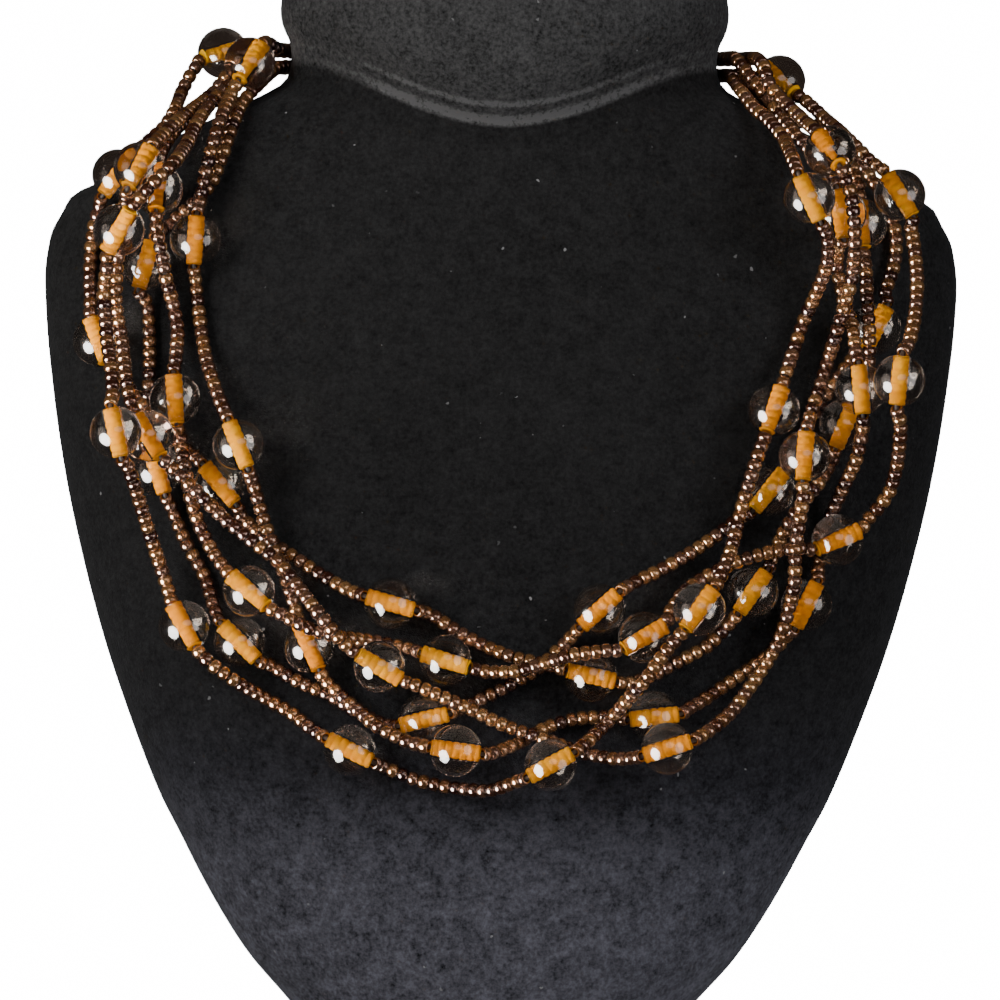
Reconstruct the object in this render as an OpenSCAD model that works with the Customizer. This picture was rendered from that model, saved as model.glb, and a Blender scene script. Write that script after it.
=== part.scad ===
/* [Glass beads] */
// Diameter of a round glass bead
glass_d = 10.4; // [8:0.1:12]
// Diameter of the ribbed core at its rings
core_d = 3.4; // [2.4:0.1:4]
// Length of the ribbed core
core_len = 9.8; // [7:0.1:10]
// Number of rings along one core
core_rings = 7; // [3:1:9]
// Depth of the groove between two rings
groove_depth = 0.25; // [0.1:0.05:0.5]

/* [Strands] */
// Diameter of a seed bead, and so of a strand of them
seed_d = 3; // [2:0.1:3.4]
// Diameter of the thread
thread_d = 0.8; // [0.4:0.1:1.2]
// Clearance around a thread or a core in its hole
hole_clearance = 0.15; // [0.1:0.05:0.3]
// Clearance between one strand and the next, and to the bust
strand_gap = 0.2; // [0.1:0.05:0.6]

/* [Clasp] */
// Length of the clasp along the strands
clasp_len = 14; // [10:1:24]
// Height of the clasp
clasp_h = 9; // [8:0.5:16]
// Thickness of the clasp, from the neck outward
clasp_t = 10.4; // [10:0.1:14]
// Rounding of the clasp's edges
clasp_round = 1.5; // [0.5:0.1:2.5]

/* [Neck bust] */
// Width of the bust at the shoulders
bust_w = 184; // [160:1:200]
// Height of the bust
bust_h = 232; // [210:1:260]
// Depth of the chest in front of the middle plane
chest_depth = 38; // [30:1:50]
// Depth of the back behind the middle plane
back_depth = 24; // [18:1:34]
// Drop of the neck crease at its front
crease_drop = 12; // [0:1:18]

/* [Hidden] */
glass_r = glass_d / 2;
seed_r = seed_d / 2;
thread_r = thread_d / 2;
core_bore_r = thread_r + hole_clearance;
glass_bore_r = core_d / 2 + hole_clearance;
span_half = core_len / 2 + 2 * hole_clearance;
tube_sides = 8;
row_pitch = seed_d + 2 * strand_gap;
layer_gap = 2.5 * strand_gap;
layer_pitch = seed_d + layer_gap;
clasp_gap = 1.5 * strand_gap;
over_gap = strand_gap + 0.25;
ring_share = 0.22;
sphere_sides = 64;
clasp_sides = 32;
bust_sides = 48;
crease_power = 4;

// How the strands lie: their steepest rise, the share of a glass bead's span
// that it leaves out, the allowance for the bust's curve under a bead, and the
// shares of the way to the next node where the depth is tried as well
rise_slope = 0.7;
glass_share = 0.8;
rest_share = 1.12;
probe_shares = [0.35, 0.7];
slope_step = 2;

// Bust sections: height, half width, front depth, back depth and drop of the
// crease, each a share of bust_h, bust_w / 2, chest_depth, back_depth, crease_drop
bust_sections = [
    [0.000, 0.335, 0.630, 0.960, 0.00],
    [0.020, 0.385, 0.680, 0.980, 0.00],
    [0.052, 0.456, 0.740, 1.000, 0.00],
    [0.086, 0.532, 0.795, 1.000, 0.00],
    [0.120, 0.590, 0.835, 1.000, 0.00],
    [0.155, 0.641, 0.870, 1.000, 0.00],
    [0.190, 0.687, 0.905, 1.000, 0.00],
    [0.224, 0.732, 0.935, 1.000, 0.00],
    [0.293, 0.802, 0.980, 1.000, 0.00],
    [0.362, 0.862, 1.000, 1.000, 0.00],
    [0.431, 0.910, 0.995, 1.000, 0.00],
    [0.500, 0.949, 0.970, 1.000, 0.00],
    [0.569, 0.977, 0.920, 1.000, 0.00],
    [0.638, 0.996, 0.835, 0.995, 0.00],
    [0.672, 1.000, 0.780, 0.990, 0.02],
    [0.707, 0.989, 0.730, 0.980, 0.05],
    [0.728, 0.963, 0.700, 0.970, 0.10],
    [0.741, 0.945, 0.685, 0.965, 0.14],
    [0.760, 0.852, 0.665, 0.960, 0.22],
    [0.782, 0.770, 0.650, 0.950, 0.36],
    [0.803, 0.675, 0.640, 0.945, 0.52],
    [0.825, 0.562, 0.635, 0.950, 0.72],
    [0.845, 0.479, 0.635, 0.955, 0.90],
    [0.856, 0.469, 0.640, 0.960, 1.00],
    [0.867, 0.467, 0.690, 0.960, 1.00],
    [0.879, 0.473, 0.750, 0.960, 0.96],
    [0.892, 0.488, 0.800, 0.980, 0.88],
    [0.905, 0.493, 0.825, 1.060, 0.76],
    [0.925, 0.487, 0.830, 1.110, 0.56],
    [0.950, 0.479, 0.820, 1.110, 0.30],
    [0.975, 0.473, 0.805, 1.090, 0.10],
    [0.990, 0.459, 0.770, 1.050, 0.00],
    [1.000, 0.425, 0.700, 0.960, 0.00]];

// Strand routes across the front, from the left of the neck to its right:
// x, height, 1 at a glass bead, and y only where it is set by hand
route_1 = [
    [-46.3, 198, 0, 0.5], [-49.3, 194.8, 0, -4.6], [-52.5, 191, 0, -9.5], [-54.5, 185.5],
    [-56, 180.5], [-58, 175], [-61, 171],
    [-66, 166.5], [-71, 158, 1], [-70.5, 150], [-70, 143], [-70, 136.5], [-70.3, 130],
    [-70, 124.5], [-68, 117, 1], [-65, 109.5], [-62, 102.5], [-58, 95.5], [-56, 89.5],
    [-51, 83, 1], [-44.5, 78.3], [-38.5, 75], [-32.5, 72.5], [-27.5, 69.5], [-20.8, 66.8],
    [-14, 68.2, 1], [-7, 70.3], [-2, 72.7], [3.5, 75.6], [8.5, 78.7], [13.5, 83.3],
    [20.5, 90.5, 1], [26.5, 95.5], [32.5, 98.5], [38, 101.7], [43.3, 105.3], [48, 109],
    [54, 114.7, 1], [58, 122], [62.5, 129.5], [67, 136.5], [70.3, 141], [75, 147.3, 1],
    [76.8, 154.5], [78.7, 160.5], [79, 166], [77.3, 172], [74, 177.5], [70, 183],
    [65.5, 186.5, 0, -1], [61.5, 188.7, 0, 3],
    [57, 190, 0, 6], [53, 192.5, 0, 9]];
route_2 = [
    [-56.8, 201.5, 1, 9.2], [-62.3, 198.3, 0, 4.5], [-64.8, 193.5, 0, 2],
    [-66, 189.5], [-68, 186], [-71.5, 182.5], [-77, 176, 1], [-80.7, 169.5], [-82, 163.5],
    [-82.3, 157.5], [-82, 151.5], [-80.2, 142.7, 1], [-76.5, 136.5], [-72, 131],
    [-67, 125.8], [-62, 121], [-55.4, 114.3, 1], [-51, 108], [-46.5, 104], [-41, 100.5],
    [-35.5, 97], [-29, 93.5], [-21, 91.2, 1], [-13.5, 89.3], [-8, 86], [-3, 83.3],
    [3, 81], [10, 79.5], [19, 77.4, 1], [26.5, 76], [32, 78], [37, 80.7], [42, 83.5],
    [45.5, 87], [51, 94.5, 1], [54.7, 101], [57, 106.5], [60, 111.5], [64, 116.5],
    [66.8, 121.3], [69, 128, 1], [72, 134.5], [73.5, 140.5], [73.5, 147], [73, 153],
    [72.7, 159.5], [71.8, 168, 1], [71.2, 176], [69, 182], [65, 187, 0, -5.5], [60, 189.3, 0, -5],
    [54, 192.3, 0, -6.3], [50.3, 195.7, 0, -3.5], [48.6, 196, 0, -0.5]];
route_3 = [
    [-45.6, 202.2, 0, 0], [-48.2, 203.4, 0, -5], [-51, 199, 1, -10.5], [-54.5, 192.8, 0, -13],
    [-56.5, 187.5], [-58, 182], [-59.3, 176.5], [-60.3, 171], [-61.1, 163, 1], [-61, 155],
    [-60.3, 149.5], [-59.5, 144], [-58.3, 138.5], [-55.5, 131], [-51.7, 122.3, 1],
    [-48.7, 114.5], [-46.5, 107.5], [-44.3, 101.5], [-42, 96], [-40.2, 90.5],
    [-37, 82.3, 1], [-33.5, 75.5], [-28.5, 71], [-23.5, 67], [-17, 63.8], [-7.6, 62.3, 1],
    [-0.5, 61.8], [5.5, 64.2], [10.5, 67], [16, 68.7], [22.5, 69.3], [31.7, 69.4, 1],
    [39, 71.3], [44, 74.5], [49, 78], [54, 81.5], [58, 85.7], [61.8, 92, 1], [64, 98.7],
    [65, 104.5], [66.5, 110], [69, 116], [71.3, 121.5], [72.3, 127], [71.8, 135, 1],
    [70.8, 142.5], [69.8, 148.5], [68, 154], [67, 159.5], [67, 163.5], [67.4, 170, 1],
    [65, 176.5], [62, 182, 0, -22.5], [58, 186.7, 0, -17.6], [55, 190.8, 0, -11],
    [52, 195, 0, -9.5], [48.8, 198.9, 0, -6.2], [46.4, 201.7, 0, -1]];
route_4 = [
    [-52.5, 198, 0, 4], [-53.8, 196.5, 0, 1.5], [-58, 192, 0, 0], [-62.5, 188.3, 0, -5],
    [-66.3, 184.5, 0, -15.7],
    [-68.3, 180.5, 0, -20.5], [-68.8, 173, 1], [-68.8, 165.5], [-67.7, 160], [-66.7, 155],
    [-65.3, 150], [-64.3, 145], [-64.5, 139], [-64.5, 131.2, 1], [-63.3, 123.5],
    [-62.3, 117.5], [-61, 111.5], [-59, 105.5], [-55.5, 99.5], [-49.1, 93.2, 1],
    [-42.5, 88.7], [-37, 86], [-30.5, 84.4], [-24, 83.6], [-17.5, 82.3], [-9.9, 80, 1],
    [-2.5, 78], [3.5, 78], [9, 79.5], [15, 81.5], [21.5, 82.5], [29.4, 85.2, 1],
    [34, 89.7], [37, 94], [41.5, 97.3], [47.5, 100.3], [53.5, 102.3], [60, 103.3],
    [67.7, 105, 1], [74, 109.5], [77.8, 114.5], [79.3, 120.5], [79.7, 128],
    [79.2, 136.8, 1], [81.2, 144.5], [82.4, 150.5], [82.8, 157], [82.3, 163],
    [81.5, 168], [79.3, 174, 1], [73.5, 180.7], [68.8, 185.5], [64.5, 189.7, 0, -8.5],
    [61, 193, 0, -4], [55.6, 197.3, 1, 1]];
route_5 = [
    [-50.6, 201.4, 0, 2], [-52.5, 200.1, 0, -0.5], [-54.7, 198, 0, -2.2], [-58.5, 193, 0, -4],
    [-63, 189, 0, -14.5], [-67, 184.7, 0, -26.5],
    [-72.2, 177, 1], [-74.8, 170], [-75.5, 164.5], [-76.5, 159], [-76.8, 153.5],
    [-76.5, 148.5], [-75.5, 143.5], [-74.8, 138.5], [-73.5, 131.7], [-69.6, 123.7, 1],
    [-64, 116.8], [-59, 112], [-54, 107.3], [-48.5, 103], [-43.3, 99], [-39.5, 94.5],
    [-35.5, 89.5], [-30.3, 83.5], [-23, 78.6, 1], [-16, 75.2], [-10, 72.7], [-4.5, 70.3],
    [1, 67.7], [6.5, 65.8], [12, 64], [17.5, 62], [25, 61], [34.3, 63.3, 1],
    [42, 66.5], [47, 70.6], [50.7, 75.5], [54, 80.5], [56.7, 86], [58.3, 91.5],
    [59.2, 97], [59.2, 103], [60, 109], [60.7, 114], [60.8, 121.6, 1], [61.8, 129.3],
    [63.7, 135], [65.3, 140.5], [66.8, 146], [68.2, 151], [69.7, 156.5], [70.2, 162],
    [70, 168], [69, 174.5], [65, 182.3, 1], [59.8, 189, 0, -22], [56.3, 192.5, 0, -14.5],
    [53.3, 196, 0, -12.5], [52.2, 199.8, 0, -9.5], [51, 201.5, 0, -4.5], [49.9, 201.7, 0, -0.5]];
route_6 = [
    [-49.3, 198.4, 0, 2], [-52, 196.4, 0, -3.3], [-55.2, 194.6, 0, -6.8], [-58.8, 190.5, 0, -13],
    [-61.5, 186, 0, -21], [-63, 182, 0, -29.5], [-65.3, 178, 0, -40.3], [-70, 173, 0, -43.3],
    [-76, 164.5, 1], [-78.3, 157.5],
    [-79, 152], [-78.5, 147], [-78, 142], [-77, 137], [-76.5, 132], [-75.8, 124.3, 1],
    [-73.3, 117.5], [-71.5, 112], [-69.8, 106.5], [-68, 101], [-65.8, 94.5],
    [-62, 86, 1], [-57.5, 79.5], [-52, 75.5], [-46, 72], [-40.5, 69], [-36, 65.7],
    [-28.7, 61.9, 1], [-21.5, 58.5], [-15, 56], [-8, 54.7], [-1, 54.3], [4.5, 56.3],
    [11.2, 59.7, 1], [18, 64], [22.5, 68.3], [26, 72.5], [29.8, 77], [33.5, 82.3],
    [40.2, 91, 1], [44.3, 97.5], [46.5, 103], [47.8, 108.5], [49.2, 114], [51.3, 121],
    [54.7, 130.7, 1], [57, 138], [58.8, 143.5], [60.7, 149], [63, 154.5], [64.8, 160],
    [64.7, 165.5], [61, 172.8, 1], [58, 179.7], [56, 185, 0, -26], [53, 189, 0, -18],
    [50.3, 191.3, 0, -13], [48.2, 194.2, 0, -8.3], [46.4, 196.7, 0, -3.2], [45.9, 198, 0, -1]];
routes = [route_1, route_2, route_3, route_4, route_5, route_6];

// Places behind the neck: layer outward from the neck, row from the top and
// the last turn that it follows, at the left and then at the right
back_places = [
    [0, 1, 80, 2, 1, 70],
    [2, 0, 70, 1, 1, 80],
    [0, 0, 80, 0, 0, 80],
    [2, 1, 80, 2, 0, 80],
    [1, 0, 80, 1, 0, 80],
    [1, 1, 80, 0, 1, 80]];
back_turns = [18, 30, 42, 54, 66, 78];
back_height = 202;
side_height_left = 202.3;
side_height_right = 201.7;
side_turn = 90;

// The bust's width and height that the routes were chosen on
route_w = 184;
route_h = 232;
width_scale = bust_w / route_w;
height_scale = bust_h / route_h;

function section_column(j) = [for (s = bust_sections) [s[0], s[j]]];
half_widths = section_column(1);
front_depths = section_column(2);
back_depths = section_column(3);
crease_drops = section_column(4);

function half_width(z) = bust_w / 2 * lookup(z / bust_h, half_widths);
function front_depth(z) = chest_depth * lookup(z / bust_h, front_depths);
function back_reach(z) = back_depth * lookup(z / bust_h, back_depths);
function side_slope(z) =
    abs(half_width(z + slope_step) - half_width(z - slope_step)) / (2 * slope_step);
function clear_width(z, r) = half_width(z) + r * sqrt(1 + pow(side_slope(z), 2));

// Depth at which a ball of radius r at x, z rests on the bust's front
function front_y(x, z, r) =
    -(front_depth(z) + r) * sqrt(max(0, 1 - pow(x / clear_width(z, r), 2)));

// Point behind the neck at a turn from straight back, in a given layer
function back_point(side, turn, layer, row) =
    let (
        side_height = side < 0 ? side_height_left : side_height_right,
        height = back_height + (side_height - back_height) * turn / side_turn,
        z = height * height_scale - row * row_pitch,
        out = seed_r + layer_gap + layer * layer_pitch)
    [side * (half_width(z) + out) * sin(turn), (back_reach(z) + out) * cos(turn), z];

function unit(v) = v / norm(v);
function flat_distance(p, a, b, t) =
    norm([a[0] + (b[0] - a[0]) * t - p[0], a[2] + (b[2] - a[2]) * t - p[1]]);
function nearest_share(p, a, b) =
    let (dx = b[0] - a[0], dz = b[2] - a[2], square = dx * dx + dz * dz)
    square == 0 ? 0 : min(1, max(0, ((p[0] - a[0]) * dx + (p[1] - a[2]) * dz) / square));

// Depth that keeps a ball of radius r at p = [x, z] in front of one laid
// piece, or the middle plane where it is clear of it
function over_piece(p, r, piece) =
    let (
        t = nearest_share(p, piece[0], piece[1]),
        d = flat_distance(p, piece[0], piece[1], t),
        reach = r + piece[2] + over_gap)
    d >= reach ? 0 : piece[0][1] + (piece[1][1] - piece[0][1]) * t - sqrt(reach * reach - d * d);

function over_all(p, r, laid) =
    min([
        front_y(p[0], p[1], rest_share * r + strand_gap),
        for (piece = laid) over_piece(p, r, piece)]);

// Nodes of one strand, clasp to clasp: x, height, bead mark and y where known
function back_nodes(side, place) = [
    for (turn = back_turns)
        if (turn < place[2])
            let (q = back_point(side, turn, place[0], place[1]))
            [q[0], q[2], 0, q[1]]];
function clasp_node(side, place) =
    let (q = back_point(side, 0, place[0], place[1]))
    [side * (clasp_len / 2 + clasp_gap), q[2], 0, q[1]];
function reversed(list) = [for (i = [len(list) - 1:-1:0]) list[i]];
function scaled_route(route) = [
    for (row = route)
        [row[0] * width_scale, row[1] * height_scale, row[2] == undef ? 0 : row[2], row[3]]];
function strand_nodes(k) =
    let (
        place = back_places[k],
        left = [place[0], place[1], place[2]],
        right = [place[3], place[4], place[5]])
    concat(
        [clasp_node(-1, left)], back_nodes(-1, left),
        scaled_route(routes[k]),
        reversed(back_nodes(1, right)), [clasp_node(1, right)]);

function between(a, b, t) = [a[0] + (b[0] - a[0]) * t, a[1] + (b[1] - a[1]) * t];
function node_need(nodes, i, laid) =
    nodes[i][3] != undef ? nodes[i][3] :
    min([
        over_all([nodes[i][0], nodes[i][1]], nodes[i][2] == 1 ? glass_r : seed_r, laid),
        for (t = probe_shares) over_all(between(nodes[i], nodes[i - 1], t), seed_r, laid),
        for (t = probe_shares) over_all(between(nodes[i], nodes[i + 1], t), seed_r, laid)]);

// Length of a step in which a strand may rise
function free_step(a, b) =
    norm([a[0] - b[0], a[1] - b[1]]) - (a[2] == 1 || b[2] == 1 ? glass_share * span_half : 0);
function eased(nodes, needs, i, before) =
    i == len(nodes) ? [] :
    let (y = i == 0 || nodes[i][3] != undef
        ? needs[i]
        : min(needs[i], before + rise_slope * free_step(nodes[i], nodes[i - 1])))
    concat([y], eased(nodes, needs, i + 1, y));

// Node points of one strand laid over the bust and over the strands before it
function laid_points(nodes, laid) =
    let (
        needs = [for (i = [0:len(nodes) - 1]) node_need(nodes, i, laid)],
        forward = eased(nodes, needs, 0, 0),
        backward = reversed(eased(reversed(nodes), reversed(forward), 0, 0)))
    [for (i = [0:len(nodes) - 1]) [nodes[i][0], backward[i], nodes[i][1]]];

function laid_pieces(nodes, points) = concat(
    [for (i = [1:len(points) - 1]) [points[i - 1], points[i], seed_r]],
    [for (i = [1:len(points) - 1]) if (nodes[i][2] == 1) [points[i], points[i], glass_r]]);

function lay_strands(k, laid) =
    k == len(routes) ? [] :
    let (nodes = strand_nodes(k), points = laid_points(nodes, laid))
    concat([[nodes, points]], lay_strands(k + 1, concat(laid, laid_pieces(nodes, points))));

strands = lay_strands(0, []);

// Direction of the thread at a node
function thread_direction(points, i) =
    unit(points[min(i + 1, len(points) - 1)] - points[max(i - 1, 0)]);
function glass_beads(k) = [
    for (i = [0:len(strands[k][1]) - 1])
        if (strands[k][0][i][2] == 1) [strands[k][1][i], thread_direction(strands[k][1], i)]];

// Stations along one strand: point, direction and radius, with the bare
// thread through each glass bead
function stations(k) =
    let (nodes = strands[k][0], points = strands[k][1])
    [for (i = [0:len(points) - 1])
        let (p = points[i], t = thread_direction(points, i))
        each nodes[i][2] == 1
            ? [
                [p - t * span_half, t, seed_r],
                [p - t * span_half, t, thread_r],
                [p + t * span_half, t, thread_r],
                [p + t * span_half, t, seed_r]]
            : [[p, t, seed_r]]];

function carried_sides(places, i, side) =
    i == len(places) ? [] :
    let (t = places[i][1], s = unit(side - (side * t) * t))
    concat([s], carried_sides(places, i + 1, s));

module tube(places) {
    n = tube_sides;
    sides = carried_sides(places, 0, [0, 0, 1]);
    rings = [
        for (i = [0:len(places) - 1], j = [0:n - 1])
            let (other = cross(places[i][1], sides[i]), a = 360 * j / n)
            places[i][0] + places[i][2] * (cos(a) * sides[i] + sin(a) * other)];
    last = (len(places) - 1) * n;
    walls = [
        for (i = [0:len(places) - 2], j = [0:n - 1])
            let (a = i * n + j, b = i * n + (j + 1) % n)
            each [[a, a + n, b], [b, a + n, b + n]]];
    first_cap = [for (j = [1:n - 2]) [0, j, j + 1]];
    last_cap = [for (j = [1:n - 2]) [last, last + j + 1, last + j]];
    polyhedron(rings, concat(walls, first_cap, last_cap));
}

module along(bead) {
    translate(bead[0])
        rotate([0, acos(bead[1][2]), atan2(bead[1][1], bead[1][0])])
            children();
}

module glass_row(k) {
    for (bead = glass_beads(k))
        along(bead)
            difference() {
                sphere(r = glass_r, $fn = sphere_sides);
                cylinder(h = 2 * glass_d, r = glass_bore_r, center = true, $fn = sphere_sides);
            }
}

module ribbed_core() {
    ring_len = core_len / core_rings;
    outline = [
        for (i = [0:core_rings - 1])
            let (z = i * ring_len - core_len / 2)
            each [
                [core_d / 2 - groove_depth, z],
                [core_d / 2, z + ring_len * ring_share],
                [core_d / 2, z + ring_len * (1 - ring_share)]]];
    rotate_extrude($fn = sphere_sides)
        polygon(concat(
            [[core_bore_r, core_len / 2], [core_bore_r, -core_len / 2]],
            outline,
            [[core_d / 2 - groove_depth, core_len / 2]]));
}

module core_row(k) {
    for (bead = glass_beads(k))
        along(bead)
            ribbed_core();
}

module neck_bust() {
    n = bust_sides;
    rings = [
        for (s = bust_sections, j = [0:n - 1])
            let (
                a = 360 * j / n,
                c = cos(a),
                drop = c > 0 ? s[4] * pow(c, crease_power) * crease_drop : 0)
            [
                bust_w / 2 * s[1] * sin(a),
                -c * (c > 0 ? chest_depth * s[2] : back_depth * s[3]),
                bust_h * s[0] - drop]];
    last = (len(bust_sections) - 1) * n;
    walls = [
        for (i = [0:len(bust_sections) - 2], j = [0:n - 1])
            let (a = i * n + j, b = i * n + (j + 1) % n)
            each [[a, a + n, b], [b, a + n, b + n]]];
    base = [for (j = [1:n - 2]) [0, j, j + 1]];
    top = [for (j = [1:n - 2]) [last, last + j + 1, last + j]];
    color("#17181d")
        polyhedron(rings, concat(walls, base, top));
}

module clasp() {
    middle = back_point(1, 0, 1, 0.5);
    color("#6b4a2c")
        translate([-clasp_len / 2, middle[1] - clasp_t / 2, middle[2] - clasp_h / 2])
            hull()
                for (
                    x = [clasp_round, clasp_len - clasp_round],
                    z = [clasp_round, clasp_h - clasp_round])
                    translate([x, 0, z])
                        rotate([-90, 0, 0])
                            cylinder(h = clasp_t, r = clasp_round, $fn = clasp_sides);
}

module seed_strand(k) {
    color("#5b3320")
        tube(stations(k));
}

module strand_glass(k) {
    color("#8a6a52")
        glass_row(k);
}

module strand_cores(k) {
    color("#e8951c")
        core_row(k);
}

module strand_1() {
    seed_strand(0);
}

module strand_1_glass() {
    strand_glass(0);
}

module strand_1_cores() {
    strand_cores(0);
}

module strand_2() {
    seed_strand(1);
}

module strand_2_glass() {
    strand_glass(1);
}

module strand_2_cores() {
    strand_cores(1);
}

module strand_3() {
    seed_strand(2);
}

module strand_3_glass() {
    strand_glass(2);
}

module strand_3_cores() {
    strand_cores(2);
}

module strand_4() {
    seed_strand(3);
}

module strand_4_glass() {
    strand_glass(3);
}

module strand_4_cores() {
    strand_cores(3);
}

module strand_5() {
    seed_strand(4);
}

module strand_5_glass() {
    strand_glass(4);
}

module strand_5_cores() {
    strand_cores(4);
}

module strand_6() {
    seed_strand(5);
}

module strand_6_glass() {
    strand_glass(5);
}

module strand_6_cores() {
    strand_cores(5);
}

neck_bust();
clasp();
strand_1();
strand_1_glass();
strand_1_cores();
strand_2();
strand_2_glass();
strand_2_cores();
strand_3();
strand_3_glass();
strand_3_cores();
strand_4();
strand_4_glass();
strand_4_cores();
strand_5();
strand_5_glass();
strand_5_cores();
strand_6();
strand_6_glass();
strand_6_cores();
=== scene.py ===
"""A six-strand necklace of lustred seed beads and clear glass beads on a velvet neck bust."""

import math

import bmesh
import bpy
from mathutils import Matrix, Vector


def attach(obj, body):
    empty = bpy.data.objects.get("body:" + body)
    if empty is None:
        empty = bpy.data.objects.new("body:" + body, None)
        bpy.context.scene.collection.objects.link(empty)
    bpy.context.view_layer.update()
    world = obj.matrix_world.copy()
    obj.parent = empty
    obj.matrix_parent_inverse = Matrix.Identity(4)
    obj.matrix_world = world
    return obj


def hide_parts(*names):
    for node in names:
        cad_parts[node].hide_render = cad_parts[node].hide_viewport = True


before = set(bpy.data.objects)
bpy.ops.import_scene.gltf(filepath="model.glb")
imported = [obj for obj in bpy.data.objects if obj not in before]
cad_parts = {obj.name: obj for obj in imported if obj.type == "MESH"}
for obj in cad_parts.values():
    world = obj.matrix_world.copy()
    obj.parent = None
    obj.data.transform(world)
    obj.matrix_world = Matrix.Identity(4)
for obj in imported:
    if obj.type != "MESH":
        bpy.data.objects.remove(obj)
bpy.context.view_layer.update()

MM = 0.001

# Sizes, in millimetres unless a name says otherwise
GLASS_D = 10.4
GLASS_HOLE_D = 3.7
CORE_D = 3.4
CORE_LEN = 9.8
CORE_RINGS = 7
GROOVE_DEPTH = 0.25
SEED_D = 3.0
SEED_LEN = 2.05
SEED_HOLE_D = 0.9
SEED_PITCH = 2.09
THREAD_D = 0.8
HOLE_CLEARANCE = 0.15
STRAND_GAP = 0.2
CLASP_LEN = 14.0
CLASP_H = 9.0
CLASP_T = 10.4
CLASP_ROUND = 1.5
BUST_W = 184.0
BUST_H = 232.0
CHEST_DEPTH = 38.0
BACK_DEPTH = 24.0
CREASE_DROP = 12.0

GLASS_R = GLASS_D / 2
SEED_R = SEED_D / 2
SPAN_HALF = CORE_LEN / 2 + 2 * HOLE_CLEARANCE
ROW_PITCH = SEED_D + 2 * STRAND_GAP
LAYER_PITCH = SEED_D + 2.5 * STRAND_GAP
OVER_GAP = STRAND_GAP + 0.25
RISE_SLOPE = 0.7
GLASS_SHARE = 0.8
BALL_REST = 1.12
BACK_GAP = 2.5 * STRAND_GAP
END_GAP = 1.5 * STRAND_GAP
NEIGHBOUR_STEPS = (0.35, 0.7)
SEED_SIDES = 12
SEED_OUTLINE_STEPS = 8
SEED_PLUMPNESS = 1.06
SEED_STRETCH = 1.04
SEED_SIZE_SPREAD = 0.06
GLASS_SIDES = 32
CORE_SIDES = 24
RIB_SHAPE = ((0.02, 1.0), (0.14, 0.35), (0.30, 0.08), (0.50, 0.0), (0.70, 0.08), (0.86, 0.35))
CAP_INSETS = (0.90, 0.75, 0.5, 0.25)
CLASP_EDGE = 0.6
LEVEL = 1e-6
SHARP = 1.0

# Seeds of the random draws: a step for each strand, and a shift for the tone
SEED_STEP = 11
BEAD_STEP = 7
SEED_TONE_SHIFT = 37.0
BEAD_TONE_SHIFT = 53.0

# Bust sections: height, half width, front depth, back depth and crease drop,
# each a share of the bust's own size
BUST_SECTIONS = (
    (0.000, 0.335, 0.630, 0.960, 0.00), (0.020, 0.385, 0.680, 0.980, 0.00),
    (0.052, 0.456, 0.740, 1.000, 0.00), (0.086, 0.532, 0.795, 1.000, 0.00),
    (0.120, 0.590, 0.835, 1.000, 0.00), (0.155, 0.641, 0.870, 1.000, 0.00),
    (0.190, 0.687, 0.905, 1.000, 0.00), (0.224, 0.732, 0.935, 1.000, 0.00),
    (0.293, 0.802, 0.980, 1.000, 0.00), (0.362, 0.862, 1.000, 1.000, 0.00),
    (0.431, 0.910, 0.995, 1.000, 0.00), (0.500, 0.949, 0.970, 1.000, 0.00),
    (0.569, 0.977, 0.920, 1.000, 0.00), (0.638, 0.996, 0.835, 0.995, 0.00),
    (0.672, 1.000, 0.780, 0.990, 0.02), (0.707, 0.989, 0.730, 0.980, 0.05),
    (0.728, 0.963, 0.700, 0.970, 0.10), (0.741, 0.945, 0.685, 0.965, 0.14),
    (0.760, 0.852, 0.665, 0.960, 0.22), (0.782, 0.770, 0.650, 0.950, 0.36),
    (0.803, 0.675, 0.640, 0.945, 0.52), (0.825, 0.562, 0.635, 0.950, 0.72),
    (0.845, 0.479, 0.635, 0.955, 0.90), (0.856, 0.469, 0.640, 0.960, 1.00),
    (0.867, 0.467, 0.690, 0.960, 1.00), (0.879, 0.473, 0.750, 0.960, 0.96),
    (0.892, 0.488, 0.800, 0.980, 0.88), (0.905, 0.493, 0.825, 1.060, 0.76),
    (0.925, 0.487, 0.830, 1.110, 0.56), (0.950, 0.479, 0.820, 1.110, 0.30),
    (0.975, 0.473, 0.805, 1.090, 0.10), (0.990, 0.459, 0.770, 1.050, 0.00),
    (1.000, 0.425, 0.700, 0.960, 0.00),
)

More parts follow.
